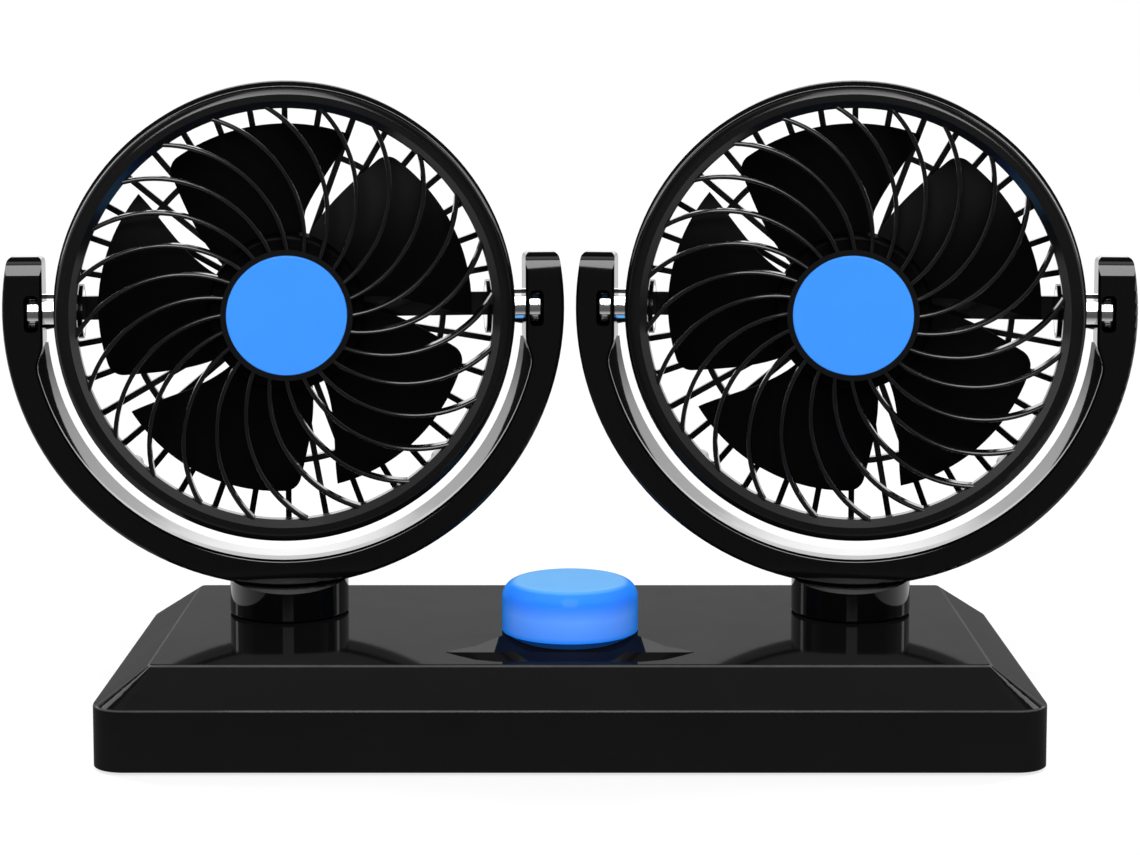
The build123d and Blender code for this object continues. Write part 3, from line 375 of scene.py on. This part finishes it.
# Badge: a plain disc of even blue plastic, moulded and glossy. It is pressed into a round seat in
# the front guard's hub.
badge_blue, place, shader = new_finish("badge_blue")
clouds = spots(place, 0.006, 3.0, 0.5)
waves = spots(place, 0.003, 2.0, 0.5)
set_finish(
    shader,
    place,
    {"Specular IOR Level": 0.0, "Coat IOR": 1.5, "Coat Roughness": 0.08},
    colour=clouds.blend((0.041, 0.255, 0.9), (0.048, 0.275, 0.94)),
    roughness=0.3 + 0.15 * clouds,
    height=waves,
    depth=0.000008,
    coat=0.15 + 0.1 * clouds,
)
dress(badge_blue, "left_badge", "right_badge")


# Motor: a drawn steel can with a plated skin, two sintered magnets, bronze bushes and a slotted
# iron armature on a ground shaft. It sits in the rear guard's cup, held by two screws.
motor_zinc = plated("motor_zinc", (0.4, 0.4, 0.41), (0.68, 0.68, 0.69), 0.25, 0.45, (1, 0.08, 1))
bush_bronze = plated("bush_bronze", (0.4, 0.26, 0.12), (0.6, 0.42, 0.2), 0.35, 0.55, (1, 1, 1))
magnet_grey = moulded(
    "magnet_grey", (0.02, 0.02, 0.021), (0.05, 0.05, 0.052), dull=0.85, bright=0.6, grain=0.0003,
    grain_depth=0.00003, coat_low=0.02, coat_high=0.05, coat_rough=0.4,
)
shaft_steel = plated("shaft_steel", (0.6, 0.6, 0.61), (0.8, 0.8, 0.8), 0.12, 0.25, (1, 0.1, 1))
for side in ("left", "right"):
    dress(motor_zinc, f"{side}_motor_can", f"{side}_armature")
    dress(bush_bronze, f"{side}_motor_bushes")
    dress(magnet_grey, f"{side}_motor_magnets")
    dress(shaft_steel, f"{side}_motor_shaft")


# Impellers: five curved blades and a hub in one black moulding, left as it comes from the tool.
# Each is pressed on its motor's shaft.
impeller_black = moulded(
    "impeller_black", (0.0012, 0.0012, 0.0013), (0.003, 0.003, 0.0032), dull=0.7, bright=0.55, grain=0.0006,
    grain_depth=0.00001, coat_low=0.03, coat_high=0.06, coat_rough=0.3,
)
dress(impeller_black, "left_impeller", "right_impeller")


# Studio: a white floor that keeps the fan's soft shadow, a tall softbox in front and above, two
# strip lights beside the fan's back, and a room that is pale behind the fan and dark in front.
floor_radius = 4.0
floor_middle = (0, 2.6, -0.0002)
shadow_reach = 0.24
bpy.ops.object.select_all(action="DESELECT")
bpy.ops.mesh.primitive_circle_add(vertices=96, radius=floor_radius, fill_type="NGON", location=floor_middle)
floor = bpy.context.active_object
bpy.ops.object.transform_apply(location=True, rotation=False, scale=False)
floor.name = "floor"
floor_white, place, shader = new_finish("floor_white")
tree = floor_white.node_tree
start = Wire(tree)
seen = start.add("LightPath", out=0) + start.add("LightPath", out=6)
glossy = start.add("LightPath", out=3)
away = place.add("VectorMath", {"operation": "LENGTH"}, {0: place}, out=1)
depth = place.add("SeparateXYZ", {}, {0: place}, out=1)
fade = ((away - shadow_reach) * 3.0).held()
shader.inputs["Base Color"].default_value = (0.8, 0.8, 0.8, 1)
shader.inputs["Roughness"].default_value = 0.9
shader.inputs["Specular IOR Level"].default_value = 0.0
glare = (depth * 5.0 + 0.8).held()
near_white, far_white, dark_mirror, pale_mirror = (
    start.add("Emission", {}, {"Strength": level}) for level in (1.18, 1.02, 0.1, 1.0)
)
pale = start.add("MixShader", {}, {0: fade, 1: near_white, 2: far_white})
mirrored = start.add("MixShader", {}, {0: glare, 1: dark_mirror, 2: pale_mirror})
white = start.add("MixShader", {}, {0: glossy, 1: pale, 2: mirrored})
lit = (seen * (0.62 + 0.38 * fade) + glossy).held()
shown = start.add("MixShader", {}, {0: lit, 1: Wire(tree, shader.outputs[0]), 2: white})
for node in tree.nodes:
    if node.type == "OUTPUT_MATERIAL":
        tree.links.new(shown.socket, node.inputs["Surface"])
floor.data.materials.append(floor_white)


def softbox(name, place, aim, width, height, power):
    light = bpy.data.lights.new(name, "AREA")
    light.shape = "RECTANGLE"
    light.size = width
    light.size_y = height
    light.energy = power
    lamp = bpy.data.objects.new(name, light)
    bpy.context.scene.collection.objects.link(lamp)
    lamp.location = place
    lamp.rotation_euler = (Vector(aim) - Vector(place)).to_track_quat("-Z", "Y").to_euler()


fan_middle = (0, 0, 0.1)
softbox("key_box", (0, -0.92, 0.87), fan_middle, width=0.5, height=1.38, power=16.5)
softbox("back_strip_left", (-0.6, 0.3, 0.45), fan_middle, width=0.12, height=0.6, power=3.0)
softbox("back_strip_right", (0.6, 0.3, 0.45), fan_middle, width=0.12, height=0.6, power=3.0)

world = bpy.data.worlds.new("surround")
bpy.context.scene.world = world
world.use_nodes = True
tree = world.node_tree
tree.nodes.clear()
start = Wire(tree)
heading = start.add("TexCoord", out=0)
behind = start.add("SeparateXYZ", {}, {0: heading}, out=1)
above = start.add("SeparateXYZ", {}, {0: heading}, out=2)
shown_ray = (start.add("LightPath", out=0) + start.add("LightPath", out=6)).held()
glossy_ray = start.add("LightPath", out=3)
backdrop = above.add("ValToRGB", {"stops": [
    (0.0, (0.2, 0.2, 0.2)),
    (0.1, (0.4, 0.4, 0.4)),
    (0.28, (0.46, 0.46, 0.46)),
    (0.33, (1.0, 1.0, 1.0)),
    (0.46, (0.9, 0.9, 0.9)),
    (0.56, (0.01, 0.01, 0.01)),
    (1.0, (0.01, 0.01, 0.01)),
]}, {0: above})
back = (behind * 8.0 - 0.4).held()
beside = (1.35 - behind.math("ABSOLUTE") * 3.0).held()
backdrop_light = 4.4
front_light = 0.12
side_light = 1.1
fill_light = 0.2
room = back * (backdrop * backdrop_light) + (1 - back) * (front_light + side_light * beside)
strength = shown_ray + (1 - shown_ray) * (glossy_ray * room + (1 - glossy_ray) * fill_light)
surround = start.add("Background", {}, {"Color": (1, 1, 1, 1), "Strength": strength})
start.add("OutputWorld", {}, {"Surface": surround})


# Camera: in front of the middle of the base and above the heads, as the photograph was taken.
lens = bpy.data.cameras.new("camera")
lens.lens = 78.58
lens.sensor_width = 36.0
lens.shift_y = -0.14
camera_place = (0, -0.6108, 0.1702)
camera_dip = 5.397
camera = bpy.data.objects.new("camera", lens)
bpy.context.scene.collection.objects.link(camera)
camera.location = camera_place
camera.rotation_euler = (math.radians(90 - camera_dip), 0, 0)
bpy.context.scene.camera = camera
bpy.context.scene.view_settings.view_transform = "Standard"
